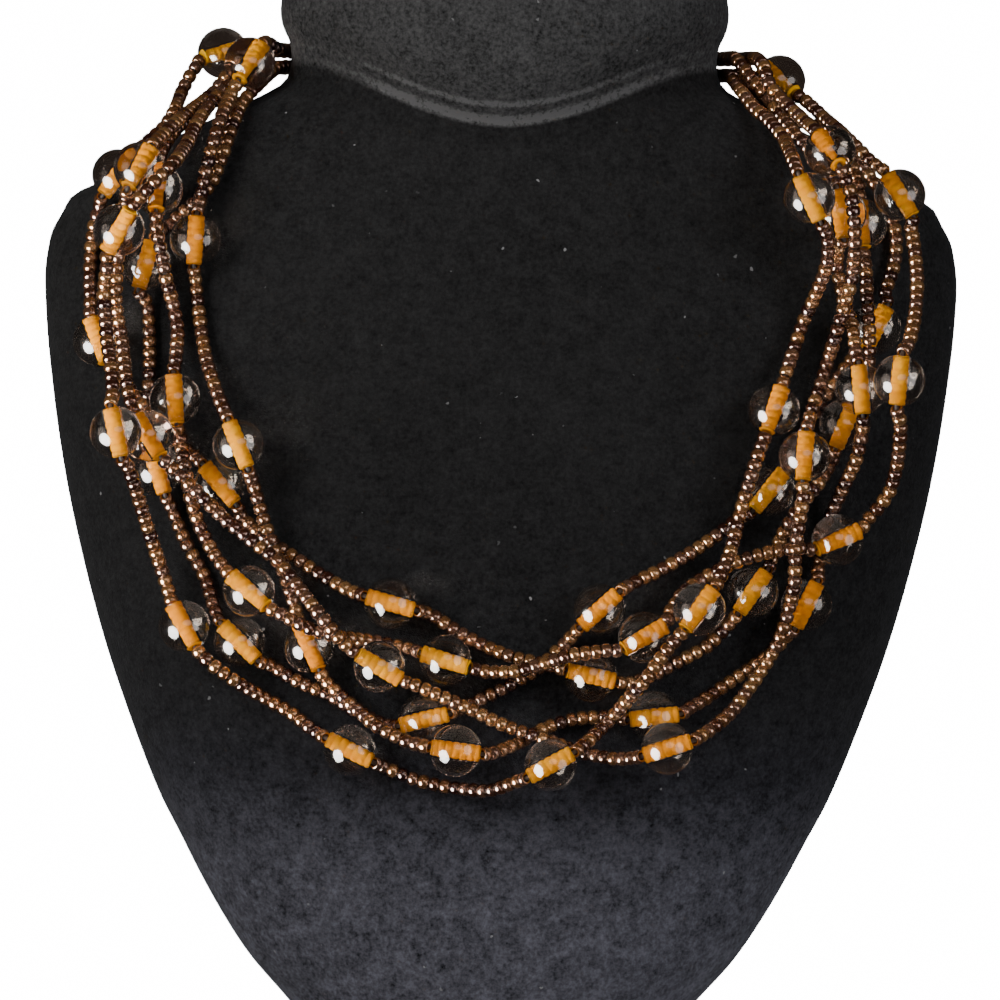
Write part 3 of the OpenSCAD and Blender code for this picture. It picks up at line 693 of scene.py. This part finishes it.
def velvet_finish():
    """Black pile: brushed patches, painted light that makes the foot and neck roll paler than the
    chest, a pale line at the neck roll's edge, and stray lint.
    """
    material, tree, shader = finish_base(
        "black velvet", Roughness=1.0, Specular_IOR_Level=0.03, Sheen_Weight=0.045,
        Sheen_Roughness=0.5, Sheen_Tint=(0.72, 0.74, 0.80, 1))
    nap = varied(tree, 26.0, 2600.0, 0.22)
    fluff = varied(tree, 300.0, 1150.0, 0.20)
    place = add(tree, "ShaderNodeTexCoord").outputs["Object"]
    across = add(tree, "ShaderNodeSeparateXYZ", {"Vector": place}).outputs["X"]
    rise = add(tree, "ShaderNodeAttribute", attribute_name="rise").outputs["Fac"]
    # painted light and shade at each height, as how pale the pile is at the foot, chest and neck
    # roll; and how uneven the pile is at each height
    painted_light_by_height = zone(tree, rise, (
        (0.0, 0.54), (0.12, 0.54), (0.21, 0.33), (0.27, 0.155), (0.45, 0.120), (0.80, 0.135),
        (0.856, 0.115), (0.864, 0.38), (0.885, 0.37), (0.91, 0.38), (1.0, 0.56)))
    rubbed = zone(tree, rise, (
        (0.0, 0.46), (0.20, 0.44), (0.30, 0.44), (0.84, 0.44), (0.862, 0.62), (0.92, 0.55),
        (0.96, 0.3), (1.0, 0.28)))
    blue = zone(tree, rise, ((0.0, 1.0), (0.2, 1.0), (0.35, 0.15), (1.0, 0.0)))
    middle = zone(tree, across, (
        (-0.06, 0.02), (-0.032, 0.15), (-0.020, 0.9), (0.010, 1.0), (0.034, 0.25), (0.06, 0.02)))
    # a pale line along the neck roll's lower edge, across the middle of the front only
    lines = [pale_line(tree, rise, *line) for line in ((0.8605, 0.0070, 0.9), (0.8735, 0.0035, 0.5))]
    edge = maths(tree, "MULTIPLY", maths(tree, "ADD", *lines), middle)
    foot = maths(tree, "MULTIPLY_ADD", blue, 0.35, 0.5)
    soft = maths(tree, "MULTIPLY", maths(tree, "SUBTRACT", fluff.outputs["Patches"], 0.5), foot)
    fine = maths(tree, "MULTIPLY_ADD", fluff.outputs["Grain"], 5.0, -2.5)
    patches = maths(tree, "MULTIPLY_ADD", nap.outputs["Patches"], 0.35, 0.8)
    uneven = maths(tree, "MULTIPLY_ADD", fine, rubbed, maths(tree, "ADD", soft, patches))
    # painted light: the pale line and the painted light by height lift the pile towards its pale
    # colour
    lifted = maths(tree, "MULTIPLY_ADD", edge, 1.25, painted_light_by_height)
    level = maths(tree, "MULTIPLY", uneven, lifted)
    # the pale colour that the painted light lifts the pile towards, a little bluish at the foot
    pale = mixed(tree, blue, (0.103, 0.103, 0.105, 1), (0.099, 0.099, 0.122, 1))
    brushed = mixed(tree, level, (0.0008, 0.0008, 0.0009, 1), pale)
    ragged = add(tree, "ShaderNodeTexNoise", {"Vector": place, "Scale": 900.0})
    pulled = add(tree, "ShaderNodeVectorMath", {
        0: ragged.outputs["Color"], 1: (0.0012, 0.0012, 0.0012), 2: place},
        operation="MULTIPLY_ADD")
    lint = add(tree, "ShaderNodeTexVoronoi", {
        "Vector": pulled.outputs[0], "Scale": 300.0, "Randomness": 1.0})
    chosen = add(tree, "ShaderNodeSeparateColor", {"Color": lint.outputs["Color"]})
    size = maths(tree, "MULTIPLY", chosen.outputs[1], 0.11)
    near = maths(tree, "LESS_THAN", lint.outputs["Distance"], size)
    few = maths(tree, "LESS_THAN", chosen.outputs[0], 0.3)
    speck = maths(tree, "MULTIPLY", maths(tree, "MULTIPLY", near, few), chosen.outputs[2])
    coloured(tree, shader, mixed(tree, speck, brushed, (0.20, 0.20, 0.205, 1)))
    bumped(tree, shader, nap.outputs["Grain"], 0.55, 0.0004)
    return material


def seed_finish():
    """Brown lustred glass: dark red and olive-gold by turns, under a bright skin."""
    material, tree, shader = finish_base(
        "lustred seed glass", Metallic=0.7, Roughness=0.24, Specular_IOR_Level=0.5,
        Coat_Weight=0.9, Coat_Roughness=0.12, Coat_IOR=1.9)
    tone = add(tree, "ShaderNodeAttribute", attribute_name="tone")
    body = ramp(tree, tone.outputs["Fac"], (
        (0.0, (0.05, 0.009, 0.004, 1)), (0.22, (0.09, 0.022, 0.008, 1)),
        (0.40, (0.16, 0.078, 0.055, 1)), (0.55, (0.14, 0.050, 0.017, 1)),
        (0.78, (0.23, 0.108, 0.038, 1)), (1.0, (0.40, 0.23, 0.09, 1))))
    swirl = varied(tree, 520.0, 1800.0, 0.25)
    glints = maths(tree, "MULTIPLY", swirl.outputs["Patches"], tone.outputs["Fac"])
    warm = mixed(tree, glints, body, (0.44, 0.19, 0.055, 1))
    coloured(tree, shader, warm)
    bumped(tree, shader, swirl.outputs["Grain"], 0.12, 0.0002)
    return material


def smoky_glass_finish(name, polish, deep, pale):
    """Clear smoky brown glass with fine flow marks; the polish is its bright skin."""
    material, tree, shader = finish_base(
        name, Roughness=0.0, IOR=1.06, Transmission_Weight=1.0,
        Coat_Weight=polish, Coat_Roughness=0.15, Coat_IOR=1.7)
    flow = varied(tree, 160.0, 700.0, 0.3)
    tint = mixed(tree, flow.outputs["Patches"], deep, pale)
    coloured(tree, shader, tint)
    bumped(tree, shader, flow.outputs["Patches"], 0.012, 0.0003)
    return material


def amber_core_finish():
    """Opaque yellow-orange core, paler on some rings."""
    material, tree, shader = finish_base(
        "amber core", Roughness=0.6, Specular_IOR_Level=0.06)
    tone = add(tree, "ShaderNodeAttribute", attribute_name="tone")
    body = ramp(tree, tone.outputs["Fac"], (
        (0.0, (0.90, 0.33, 0.0, 1)), (0.5, (0.95, 0.47, 0.0, 1)), (1.0, (1.0, 0.58, 0.0, 1))))
    clouds = varied(tree, 420.0, 2200.0, 0.3)
    coloured(tree, shader, mixed(tree, clouds.outputs["Patches"], body, (0.90, 0.34, 0.0, 1)))
    bumped(tree, shader, clouds.outputs["Grain"], 0.2, 0.0001)
    return material


def thread_finish():
    """Brown twisted thread."""
    material, tree, shader = finish_base("brown thread", Roughness=0.7, Sheen_Weight=0.2)
    twist = varied(tree, 1500.0, 4000.0, 0.3)
    coloured(tree, shader, mixed(
        tree, twist.outputs["Patches"], (0.035, 0.018, 0.010, 1), (0.07, 0.036, 0.02, 1)))
    bumped(tree, shader, twist.outputs["Grain"], 0.4, 0.0002)
    return material


def brass_finish():
    """Antique brass, darker and brighter in soft patches, and smoother where brighter."""
    material, tree, shader = finish_base("antique brass", Metallic=1.0, Roughness=0.34)
    age = varied(tree, 300.0, 2400.0, 0.28)
    coloured(tree, shader, mixed(
        tree, age.outputs["Patches"], (0.13, 0.075, 0.032, 1), (0.42, 0.27, 0.12, 1)))
    rough = add(tree, "ShaderNodeMapRange", {
        "Value": age.outputs["Patches"], "To Min": 0.5, "To Max": 0.25})
    tree.links.new(rough.outputs[0], shader.inputs["Roughness"])
    bumped(tree, shader, age.outputs["Grain"], 0.15, 0.0001)
    return material


# The bust and the clasp

def smooth_section(s):
    """Half width, front, back and drop shares at a share of the height, on a smooth curve."""
    rows = BUST_SECTIONS
    i = 0
    while i < len(rows) - 2 and s > rows[i + 1][0]:
        i += 1
    a, b = rows[i], rows[i + 1]
    h = b[0] - a[0]
    t = (s - a[0]) / h

    def slope(j, column):
        if j == 0 or j == len(rows) - 1:
            return 0
        before, here, after = rows[j - 1], rows[j], rows[j + 1]
        left = (here[column] - before[column]) / (here[0] - before[0])
        right = (after[column] - here[column]) / (after[0] - here[0])
        return 0 if left * right <= 0 else 2 * left * right / (left + right)

    values = []
    for c in range(1, 5):
        values.append(
            a[c] * (2 * t ** 3 - 3 * t ** 2 + 1) + slope(i, c) * h * (t ** 3 - 2 * t ** 2 + t)
            + b[c] * (3 * t ** 2 - 2 * t ** 3) + slope(i + 1, c) * h * (t ** 3 - t ** 2))
    return values


def velvet_bust(name, sides=144, rows=150, pile=0.15):
    """The neck bust as one smooth closed form, with softly rounded rims."""
    shares = [i / rows for i in range(rows + 1)]
    rings = []
    for s in shares:
        width, front, back, drop = smooth_section(s)
        ring = []
        for j in range(sides):
            a = 2 * math.pi * j / sides
            c = math.cos(a)
            fall = drop * c ** 4 * CREASE_DROP if c > 0 else 0
            depth = CHEST_DEPTH * front if c > 0 else BACK_DEPTH * back
            ring.append((
                (BUST_W / 2 * width - pile) * math.sin(a), -c * (depth - pile), BUST_H * s - fall))
        rings.append(ring)
    base, top = rings[0], rings[-1]
    for inset in CAP_INSETS:
        shares = [0.0] + shares + [1.0]
        rings = (
            [[(x * inset, y * inset, z) for x, y, z in base]] + rings
            + [[(x * inset, y * inset, z) for x, y, z in top]])
    mesh = bpy.data.meshes.new(name)
    verts = [tuple(v * MM for v in p) for ring in rings for p in ring]
    faces = []
    for i in range(len(rings) - 1):
        for j in range(sides):
            k = (j + 1) % sides
            faces.append((i * sides + j, i * sides + k, (i + 1) * sides + k, (i + 1) * sides + j))
    faces.append(tuple(range(sides))[::-1])
    faces.append(tuple((len(rings) - 1) * sides + j for j in range(sides)))
    mesh.from_pydata(verts, [], faces)
    mesh.update()
    shape = bmesh.new()
    shape.from_mesh(mesh)
    bmesh.ops.recalc_face_normals(shape, faces=shape.faces)
    shape.to_mesh(mesh)
    shape.free()
    rise = mesh.attributes.new("rise", "FLOAT", "POINT")
    for i, item in enumerate(rise.data):
        item.value = shares[i // sides]
    mesh.shade_smooth()
    return new_object(name, mesh)


def clasp_bar(name):
    """A plain metal bar with rounded edges, behind the neck."""
    middle = back_point(1, 0, 1, 0.5)
    shape = bmesh.new()
    bmesh.ops.create_cube(shape, size=1.0)
    for v in shape.verts:
        v.co = (
            v.co.x * CLASP_LEN * MM, (v.co.y * CLASP_T + middle.y) * MM,
            (v.co.z * CLASP_H + middle.z) * MM)
    upright = [e for e in shape.edges if abs(e.verts[0].co.y - e.verts[1].co.y) > LEVEL]
    bmesh.ops.bevel(
        shape, geom=upright, offset=CLASP_ROUND * MM, segments=5, profile=0.5, affect="EDGES")
    flat = [e for e in shape.edges if abs(e.verts[0].co.y - e.verts[1].co.y) < LEVEL
            and len(e.link_faces) == 2 and abs(e.calc_face_angle(0)) > SHARP]
    bmesh.ops.bevel(
        shape, geom=flat, offset=CLASP_EDGE * MM, segments=3, profile=0.5, affect="EDGES")
    bmesh.ops.recalc_face_normals(shape, faces=shape.faces)
    mesh = bpy.data.meshes.new(name)
    shape.to_mesh(mesh)
    shape.free()
    mesh.shade_smooth()
    return new_object(name, mesh)


# The pieces

velvet = velvet_finish()
seed_glass = seed_finish()
smoky_glass = smoky_glass_finish(
    "smoky glass", 1.0, (0.60, 0.51, 0.44, 1), (0.70, 0.62, 0.55, 1))
clear_bore = smoky_glass_finish(
    "smoky glass bore", 0.0, (0.94, 0.90, 0.86, 1), (0.98, 0.96, 0.94, 1))
amber = amber_core_finish()
brown_thread = thread_finish()
brass = brass_finish()

bust = velvet_bust("velvet_bust")
bust.data.materials.append(velvet)
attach(bust, "root")
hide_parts("neck_bust")

bar = clasp_bar("clasp_bar")
bar.data.materials.append(brass)
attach(bar, "root")
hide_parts("clasp")

seed_form = turned_form("seed_form", seed_outline(), SEED_SIDES)
glass_form = turned_form("glass_form", glass_outline(), GLASS_SIDES)
core_form = turned_form("core_form", core_outline(), CORE_SIDES)
strung = strung_tree()
placed = placed_tree()

for number, strand in enumerate(lay_strands(), 1):
    cad = f"strand_{number}"
    places = [p for p, mark in strand]
    runs = [drawn_through(run) for run in seed_runs(strand)]
    path = threads(f"thread_path_{number}", [shortened(run, SEED_PITCH / 2) for run in runs])
    seeds = grown(f"seed_beads_{number}", path, strung, {
        "Bead Form": seed_form, "Pitch": SEED_PITCH * MM, "Size Variation": SEED_SIZE_SPREAD,
        "Seed": SEED_STEP * number, "Finish": seed_glass})
    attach(seeds, "root")
    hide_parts(cad)

    beads = [(p, thread_direction(places, i)) for i, (p, mark) in enumerate(strand) if mark]
    for label, form, finish, bore_finish, slot, node in (
            ("glass_beads", glass_form, smoky_glass, clear_bore, "smoky_glass", cad + "_glass"),
            ("amber_cores", core_form, amber, amber, "amber_core", cad + "_cores")):
        piece = grown(f"{label}_{number}", marks(f"{label}_marks_{number}", beads), placed, {
            "Form": form, "Seed": BEAD_STEP * number, "Finish": finish,
            "Bore Finish": bore_finish})
        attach(piece, "root")
        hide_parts(node)

    line = threads(f"thread_line_{number}", [[p for run in runs for p in run]])
    line.data.bevel_depth = THREAD_D / 2 * MM
    line.data.bevel_resolution = 2
    line.data.use_fill_caps = True
    seen = line.evaluated_get(bpy.context.evaluated_depsgraph_get())
    thread_mesh = bpy.data.meshes.new_from_object(seen)
    bpy.data.objects.remove(line)
    strung_thread = new_object(f"thread_{number}", thread_mesh)
    thread_mesh.materials.append(brown_thread)
    thread_mesh.shade_smooth()
    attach(strung_thread, "root")

for form in (seed_form, glass_form, core_form):
    bpy.data.objects.remove(form)


# Stage, light and camera

def stage_floor(reach=0.24, sides=64, drop=0.0002):
    """A pale round floor just under the bust's foot."""
    mesh = bpy.data.meshes.new("floor")
    turns = [2 * math.pi * j / sides for j in range(sides)]
    rim = [(reach * math.cos(a), reach * math.sin(a), -drop) for a in turns]
    mesh.from_pydata(rim, [], [tuple(range(sides))])
    obj = new_object("floor", mesh)
    material, tree, shader = finish_base("pale floor", Roughness=0.8, Specular_IOR_Level=0.2)
    grain = varied(tree, 3.0, 300.0, 0.4)
    coloured(tree, shader, mixed(
        tree, grain.outputs["Patches"], (0.80, 0.80, 0.80, 1), (0.86, 0.86, 0.86, 1)))
    mesh.materials.append(material)
    obj.visible_glossy = False


def soft_light(
        name, place, size, radiance, colour, seen_in_gloss=True, lights_matt=True,
        seen_through=True):
    """An oval light turned to the necklace, set by its radiance."""
    light = bpy.data.lights.new(name, "AREA")
    light.shape = "ELLIPSE"
    light.size, light.size_y = size
    light.energy = radiance * math.pi * size[0] * size[1]
    light.color = colour
    obj = new_object(name, light)
    obj.location = place
    obj.rotation_mode = "QUATERNION"
    obj.rotation_quaternion = (Vector(NECKLACE_MIDDLE) - Vector(place)).to_track_quat("-Z", "Y")
    obj.visible_glossy = seen_in_gloss
    obj.visible_transmission = seen_through
    obj.visible_diffuse = lights_matt


def pale_world():
    """White where it is looked at, dim in what it lights and in reflections."""
    world = bpy.data.worlds.new("pale studio")
    world.use_nodes = True
    tree = world.node_tree
    tree.nodes.clear()
    light_path = add(tree, "ShaderNodeLightPath")
    dim = add(tree, "ShaderNodeBackground", {"Color": (1.0, 0.80, 0.70, 1), "Strength": 0.03})
    bright = add(tree, "ShaderNodeBackground", {"Color": (1, 1, 1, 1), "Strength": 16.0})
    mix = add(tree, "ShaderNodeMixShader", {
        0: light_path.outputs["Is Camera Ray"], 1: dim.outputs[0], 2: bright.outputs[0]})
    add(tree, "ShaderNodeOutputWorld", {"Surface": mix.outputs[0]})
    bpy.context.scene.world = world


stage_floor()
pale_world()

NECKLACE_MIDDLE = (0, -0.03, 0.12)
soft_light(
    "window_glare", (-0.46, -0.33, -0.16), (0.46, 0.52), 40, (1.0, 0.97, 0.92),
    lights_matt=False)
soft_light(
    "far_glare", (0.80, -0.60, 0.12), (0.7, 0.7), 2.6, (1.0, 0.93, 0.90),
    lights_matt=False)
soft_light(
    "room_veil", (0.25, -1.3, 0.45), (0.9, 0.6), 1.5, (1.0, 0.90, 0.84),
    lights_matt=False)
soft_light(
    "window", (-0.7, -0.8, 0.5), (0.6, 0.6), 10, (1.0, 0.98, 0.95),
    seen_in_gloss=False)
soft_light(
    "fill", (0.8, -0.9, 0.5), (0.6, 0.6), 7, (0.97, 0.98, 1.0),
    seen_in_gloss=False, seen_through=False)
soft_light(
    "back_fill", (0.35, 1.1, 0.55), (0.7, 0.7), 7, (0.97, 0.98, 1.0),
    seen_in_gloss=False, seen_through=False)

LENS = 500.0
SENSOR = 36.0
FRAME_WIDTH = 0.2
STRAND_PLANE = -0.02
ROLL = 0.0145
camera = bpy.data.cameras.new("camera")
camera.lens = LENS
camera.sensor_width = SENSOR
camera.clip_start, camera.clip_end = 0.1, 20
viewer = new_object("camera", camera)
viewer.location = (0.00045, STRAND_PLANE - FRAME_WIDTH * LENS / SENSOR, 0.112)
viewer.rotation_euler = (math.pi / 2, -ROLL, 0)
bpy.context.scene.camera = viewer
